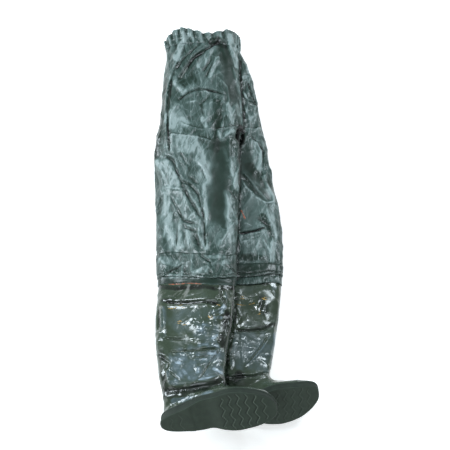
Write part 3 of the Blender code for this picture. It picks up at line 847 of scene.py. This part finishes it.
def buildLining():
    # the knitted inner face, seen only through the waist, well behind the folds
    s = liningSet
    skin = skinOf("trousers", trouserSet["wall"], inner=True)
    with editing(skin.data) as work:
        hidden = [f for f in work.faces if max(v.co.y for v in f.verts) < s["from"] * mm]
        bmesh.ops.delete(work, geom=hidden, context="FACES")
    roundOff(skin)
    points, normals = readSkin(skin.data)
    points = points + s["swell"] * normals
    outside = treeOf([trousers.data])
    for i in range(len(points)):
        depth, out, far = depthAt(outside, points[i])
        points[i] -= out * max(0.0, depth + s["behind"])
    wear(skin, points, backingMaterial)
    dress(skin, "trousers_lining", "pvc_coated_cloth")


trousers = buildTrousers()
buildLining()

kneeBandSet = {"wall": 1.0, "cuts": 3, "sink": 0.9, "edge": 5.0, "seamIn": 10.0, "seamDepth": 1.2,
               "line": 2.0}


def buildKneeBand(side):
    s = kneeBandSet
    nodeName = "knee_band_" + side
    skin, points, normals, top = fineSkin(nodeName, s["wall"], s["cuts"])
    low, high = points[:, 1].min(), points[:, 1].max()
    edge = np.minimum(points[:, 1] - low, high - points[:, 1])
    seam = s["seamDepth"] * np.exp(-((points[:, 1] - low - s["seamIn"]) / s["line"]) ** 2)
    points, normals, lift, tone, crumple = slantedCloth(skin, points, normals, top)
    lift = lift - seam - s["sink"] * (1.0 - smoothStep(0.0, s["edge"], edge))
    # painted shade along the seam groove and at the band's edges
    tone = tone - top * (0.3 * seam + 0.5 * np.exp(-(edge / s["line"]) ** 2))
    wear(skin, points + normals * lift[:, None], clothMaterial, tone=tone, crumple=crumple)
    hollow(skin, s["wall"])
    return dress(skin, "knee_band_%s_cloth" % side, "pvc_coated_cloth", nodeName)


kneeBands = [buildKneeBand("right"), buildKneeBand("left")]

# Rows are the lines of stitching that hold the elastic
casingSet = {"wall": 1.2, "cuts": 2, "rows": (588.0, 604.0), "rowDepth": 0.8, "rowHalf": 2.6, "sink": 1.7,
             "edge": 7.0}


def buildCasing():
    s = casingSet
    skin, points, normals, top = fineSkin("waist_casing", s["wall"], s["cuts"])
    lift, tone, crumple = clothShape(points, top)
    for row in s["rows"]:
        lift = lift - s["rowDepth"] * np.exp(-((points[:, 1] - row) / s["rowHalf"]) ** 2)
    low = points[:, 1].min()
    lift = lift - s["sink"] * (1.0 - smoothStep(0.0, s["edge"], points[:, 1] - low))
    wear(skin, points + normals * lift[:, None], clothMaterial, tone=tone, crumple=crumple)
    hollow(skin, s["wall"], backingMaterial)
    return dress(skin, "waist_casing_cloth", "pvc_coated_cloth", "waist_casing")


casing = buildCasing()

# Soles: the CAD outline with rounded edges, a foxing strip and zigzag tread ribs
soleSet = {"length": 290.0, "heelHalf": 36.0, "waistHalf": 44.0, "ballHalf": 59.0, "rimWall": 3.4,
           "bedHeel": 20.0, "bedBall": 9.0, "toeSpring": 8.0, "archRise": 7.0, "toeSwing": 17.0,
           "archShift": 4.0, "around": 440, "acrossTread": 60, "ribHeight": 1.8, "ribHalf": 1.3,
           "waveLength": 30.0, "waveDepth": 4.0, "ribEdge": 7.0, "wallFrom": 0.6, "wallTo": 12.0}
# Place along the sole, reach to each side and strength of each rib
frontRibs = [(162, 50, 1.0), (182, 56, 1.0), (202, 57, 1.0), (222, 54, 1.0), (242, 48, 1.0), (262, 38, 0.6)]
heelRibs = [(30, 26, 0.2), (54, 29, 0.3)]
feet = {"right": {"heel": (-177.5, -615.9, 110.0), "yaw": 6.8, "pitch": 13.0, "tilt": 38.0,
                  "inner": -1, "wearAndPaintedLight": 0.75},
        "left": {"heel": (-66.5, -572.9, 55.5), "yaw": 7.0, "pitch": 3.5, "tilt": 32.0,
                 "inner": 1, "wearAndPaintedLight": 0.3}}
# Heights along the sole, from heel to toe
soleCurves = {"bed": [(0.0, soleSet["bedHeel"]), (0.22, soleSet["bedHeel"]), (0.62, soleSet["bedBall"]),
                      (0.78, soleSet["bedBall"]), (1.0, soleSet["bedBall"] + soleSet["toeSpring"])],
              "ground": [(0.0, 0.0), (0.275, 0.0), (0.29, 2.5), (0.42, soleSet["archRise"]), (0.54, 0.0),
                         (0.80, 0.0), (1.0, soleSet["toeSpring"])]}
# Rings up the side: the curve each follows, inset from the outline and rise over the curve
soleProfile = [("ground", 3.0, 0.0), ("ground", 1.6, 0.6), ("ground", 0.8, 2.0), ("ground", 0.6, 3.4),
               ("bed", 0.9, 4.6), ("bed", 0.7, 5.4), ("bed", 0.1, 6.0), ("bed", 0.0, 8.0),
               ("bed", 0.2, 9.0), ("bed", 0.9, 9.5), ("bed", 0.9, 10.0), ("bed", 0.3, 10.5),
               ("bed", 0.3, 12.3), ("bed", 0.9, 13.0), ("bed", soleSet["rimWall"], 13.0),
               ("bed", soleSet["rimWall"], 0.0)]


def alongCurve(stops, place):
    value = np.full(np.shape(place), float(stops[0][1]))
    for (p0, v0), (p1, v1) in zip(stops, stops[1:]):
        value = np.where(place > p0, v0 + (v1 - v0) * smoothStep(p0, p1, place), value)
    return value


def signedPower(value, exponent):
    return np.sign(value) * np.abs(value) ** exponent


def soleOutline(inset, inner):
    s = soleSet
    angle = 2.0 * math.pi * np.arange(s["around"]) / s["around"]
    place = 0.5 + 0.5 * signedPower(np.cos(angle), 0.86)
    half = alongCurve([(0.16, s["heelHalf"] - inset), (0.40, s["waistHalf"] - inset),
                       (0.68, s["ballHalf"] - inset), (1.0, 0.97 * (s["ballHalf"] - inset))], place)
    swing = s["toeSwing"] * np.maximum(0.0, (place - 0.62) / 0.38) ** 2
    middle = inner * (swing - s["archShift"] * np.exp(-((place - 0.42) / 0.16) ** 2))
    along = inset + (s["length"] - 2.0 * inset) * place
    return along, half * signedPower(np.sin(angle), 0.80) + middle, place, middle


def treadDrop(along, own):
    # share of the rib height at each point, and the line of painted shade behind each rib
    s = soleSet
    drop, shade = np.zeros(np.shape(along)), np.zeros(np.shape(along))
    swing = np.arcsin(0.96 * np.sin(2.0 * math.pi * own / s["waveLength"])) / 1.3
    for at, reach, full in frontRibs + heelRibs:
        crest = at + s["waveDepth"] * swing + 0.08 * own
        inside = 1.0 - smoothStep(reach - s["ribEdge"] - 2.0, reach - s["ribEdge"] + 1.0, np.abs(own))
        rib = 1.0 - smoothStep(0.5, 1.5, np.abs(along - crest) / s["ribHalf"])
        drop = np.maximum(drop, full * inside * rib)
        shade = np.maximum(shade, full * inside * np.exp(-((along - crest + 3.0) / 1.5) ** 2))
    return drop, shade


def placeFoot(foot, along, across, height):
    turn = Matrix.Rotation(math.radians(foot["yaw"]), 3, "Z")
    turn = turn @ Matrix.Rotation(-math.radians(foot["pitch"]), 3, "Y")
    lean = math.radians(foot["tilt"])
    axes = [turn @ Vector(v) for v in ((1.0, 0.0, 0.0), (0.0, math.sin(lean), math.cos(lean)),
                                       (0.0, math.cos(lean), -math.sin(lean)))]
    axes = np.array([list(a) for a in axes])
    return np.array(foot["heel"]) + np.stack([along, across, height], axis=-1) @ axes


def buildOutsole(side):
    s = soleSet
    foot = feet[side]
    count = s["around"]
    points, worn, wall, faces = [], [], [], []
    for base, inset, rise in soleProfile:
        along, across, place, middle = soleOutline(inset, foot["inner"])
        points.extend(placeFoot(foot, along, across, alongCurve(soleCurves[base], place) + rise))
        # rings paler from wear and painted highlight at the rounded ground edge and the top of the rim, the
        # side wall darker as painted shade
        wearAndPaintedLight = 0.2 if base == "ground" and inset > 1.0 else 0.6 if rise > s["wallTo"] else 0.0
        worn.extend([wearAndPaintedLight] * count)
        wall.extend([0.3 if s["wallFrom"] < rise < s["wallTo"] else 0.0] * count)
    last = len(points) - count
    for first in range(0, last, count):
        for i, j in zip(range(count), [*range(1, count), 0]):
            faces.append((first + i, first + j, first + count + j, first + count + i))
    # rungs of the tread run from one side of the outline to the other
    along, across, place, middle = soleOutline(soleProfile[0][1], foot["inner"])
    share = np.linspace(0.0, 1.0, s["acrossTread"] + 1)[1:-1]
    rungs = []
    for i in range(1, count // 2):
        left, right = i, count - i
        sideways = across[left] + (across[right] - across[left]) * share
        forward = np.full(len(share), along[left])
        crest, shade = treadDrop(forward, sideways - middle[left])
        ground = alongCurve(soleCurves["ground"], np.full(len(share), place[left]))
        rungs.append([left] + list(range(len(points), len(points) + len(share))) + [right])
        points.extend(placeFoot(foot, forward, sideways, ground - s["ribHeight"] * crest))
        # rib tops paler from wear and painted highlight, with a painted shade line behind each rib
        worn.extend(0.15 + foot["wearAndPaintedLight"] * crest)
        wall.extend(foot["wearAndPaintedLight"] * shade)
    for before, after in zip(rungs, rungs[1:]):
        faces.extend(zip(before, after, after[1:], before[1:]))
    for tip, rung in ((0, rungs[0]), (count // 2, rungs[-1])):
        faces.extend((tip, a, b) for a, b in zip(rung, rung[1:]))
    # the bed inside the rim
    toe, end = last + count // 2, last + count
    faces.extend((last + i, last + i + 1, end - i - 1, end - i) for i in range(1, count // 2 - 1))
    faces.extend([(last, last + 1, end - 1), (toe - 1, toe, toe + 1)])
    mesh = bpy.data.meshes.new("sole")
    mesh.from_pydata([Vector(p) * mm for p in points], [], faces)
    with editing(mesh) as work:
        bmesh.ops.recalc_face_normals(work, faces=work.faces[:])
    writeAttribute(mesh, "worn", np.array(worn))
    writeAttribute(mesh, "wall", np.array(wall))
    mesh.materials.append(soleMaterial)
    dress(linkUp("sole", mesh), "outsole_%s_rubber" % side, "sole_rubber", "outsole_" + side)


for side in ("right", "left"):
    buildOutsole(side)
    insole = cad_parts["insole_" + side].data
    insole.materials.clear()
    insole.materials.append(feltMaterial)

# Cement marks lie on the finished surfaces
surfaceTree = treeOf([piece.data for piece in [trousers, casing] + kneeBands + boots])


def topOf(x, y):
    hit = surfaceTree.ray_cast(Vector((x * mm, y * mm, 0.5)), Vector((0.0, 0.0, -1.0)))[0]
    return hit.z / mm if hit else None


def smoothLine(line):
    # points at even steps on a smooth curve through the given ones
    step = 2.5
    padded = np.vstack([2 * line[0] - line[1], line, 2 * line[-1] - line[-2]])
    out = []
    for a, b, c, d in zip(padded, padded[1:], padded[2:], padded[3:]):
        count = max(2, int(np.linalg.norm(c - b) / step))
        for t in np.arange(count) / count:
            out.append(0.5 * (2 * b + (c - a) * t + (2 * a - 5 * b + 4 * c - d) * t ** 2
                              + (3 * b - a - 3 * c + d) * t ** 3))
    out.append(line[-1])
    return np.array(out)


# Section of a cement mark: share of its half width and of its thickness
markSection = ((-1.0, -0.3), (-0.8, 0.7), (0.0, 1.0), (0.8, 0.7), (1.0, -0.3))


def layStrip(strip, seed):
    # a flat strip with rounded sides that follows the surface under it
    draw = np.random.default_rng(seed)
    wide, thick, ragged, *line = strip
    centre = smoothLine(np.array(line, float))
    points, faces, before = [], [], None
    for i, here in enumerate(centre):
        ahead = centre[min(i + 1, len(centre) - 1)] - centre[max(i - 1, 0)]
        ahead /= np.linalg.norm(ahead)
        normal = np.array([-ahead[1], ahead[0]])
        half = 0.5 * wide * (1.0 + ragged * draw.uniform(-1.0, 1.0))
        half *= 0.35 + 0.65 * min(1.0, min(i, len(centre) - 1 - i) / 2.0)
        ids = []
        for share, up in markSection:
            spot = here + normal * share * half
            level = topOf(*spot)
            if level is None:
                break
            ids.append(len(points))
            points.append((spot[0], spot[1], level + up * thick))
        whole = len(ids) == len(markSection)
        if whole and before:
            faces.extend(zip(before, before[1:], ids[1:], ids))
        before = ids if whole else None
    return points, faces


def joinStrips(name, strips, material, slot):
    points, faces = [], []
    for index, strip in enumerate(strips):
        more, sides = layStrip(strip, 70 + index)
        faces.extend([tuple(i + len(points) for i in face) for face in sides])
        points.extend(more)
    mesh = bpy.data.meshes.new(name)
    mesh.from_pydata([Vector(p) * mm for p in points], [], faces)
    mesh.materials.append(material)
    dress(linkUp(name, mesh), name, slot)


# Width, thickness and raggedness of each mark, then the points of its line
hemMarks = [
    (2.6, 0.4, 0.6, (-168, -205), (-146, -208), (-124, -213), (-100, -222), (-80, -230)),
    (4.5, 0.5, 0.5, (25, 26), (31, 12), (37, -4)),
]
bootMarks = [
    (1.8, 0.3, 0.7, (-167, -285), (-152, -287), (-142, -286)), (1.6, 0.3, 0.7, (-140, -283), (-126, -280)),
    (2.6, 0.3, 0.6, (-132, -290), (-122, -291)), (2.6, 0.3, 0.6, (-142, -331), (-134, -330), (-128, -334)),
    (3.4, 0.3, 0.6, (-140, -336), (-133, -337)), (1.4, 0.3, 0.6, (-130, -343), (-116, -344)),
    (3.0, 0.3, 0.6, (-62, -327), (-57, -333), (-52, -338)), (2.0, 0.3, 0.6, (-53, -327), (-50, -335)),
    (1.8, 0.3, 0.6, (-40, -294), (-30, -297)), (2.4, 0.3, 0.6, (22, -243), (32, -243)),
    (2.4, 0.3, 0.6, (20, -249), (34, -250)), (3.0, 0.3, 0.6, (78, -246), (85, -250), (92, -250)),
    (2.4, 0.3, 0.6, (84, -244), (92, -245)), (3.4, 0.3, 0.6, (66, -295), (74, -292)),
    (1.8, 0.3, 0.6, (71, -288), (74, -284)), (1.8, 0.3, 0.7, (10, -265), (22, -268), (36, -269)),
    (1.5, 0.3, 0.7, (44, -267), (60, -262)),
]
joinStrips("hem_cement_marks", hemMarks, redCement, "pvc_coated_cloth")
joinStrips("boot_cement_marks", bootMarks, amberCement, "moulded_pvc")

# Floor and light
floorSet = {"size": 9000.0, "colour": "#f7f7f6", "glow": 0.55}


def layFloor():
    half = 0.5 * floorSet["size"] * mm
    mesh = bpy.data.meshes.new("floor")
    mesh.from_pydata([(-half, -half, 0), (half, -half, 0), (half, half, 0), (-half, half, 0)], [],
                     [(0, 1, 2, 3)])
    colour = linear(floorSet["colour"])
    paper = newMaterial("paper sheet", {"Roughness": 0.9, "Emission Strength": floorSet["glow"],
                                        "Base Color": colour, "Emission Color": colour})[0]
    mesh.materials.append(paper)
    linkUp("floor", mesh)


layFloor()

# Name, place, aim, size and power in watts of each soft light
softLights = [
    ("left panel", (-2600, 700, 1600), (-20, 50, 0), 1000, 75.0),
    ("right panel", (1900, 1600, 2200), (-20, 50, 0), 1000, 48.0),
    ("front panel", (-600, -1900, 1900), (-20, 0, 0), 1200, 16.0),
    ("crisp lamp", (-1500, 300, 2700), (-60, -350, 0), 180, 11.0),
    ("crisp spot", (1500, 300, 2700), (-60, -350, 0), 160, 8.0),
    ("crisp top", (250, 650, 2700), (-60, -400, 0), 200, 9.0),
]
skySet = {"lamps": "#e6f2fa", "sky": "#f2f5f8", "strength": 0.28}


def placeLights():
    for name, place, aim, size, power in softLights:
        data = bpy.data.lights.new(name, "AREA")
        data.shape = "SQUARE"
        data.size = size * mm
        data.energy = power
        data.color = linear(skySet["lamps"])[:3]
        lamp = linkUp(name, data)
        lamp.location = Vector(place) * mm
        lamp.rotation_euler = (Vector(aim) - Vector(place)).to_track_quat("-Z", "Y").to_euler()
    world = bpy.data.worlds.new("studio")
    world.use_nodes = True
    fill(world.node_tree.nodes["Background"],
         {"Color": linear(skySet["sky"]), "Strength": skySet["strength"]})
    bpy.context.scene.world = world
    bpy.context.scene.view_settings.view_transform = "Standard"


placeLights()
print("floor and lights placed")
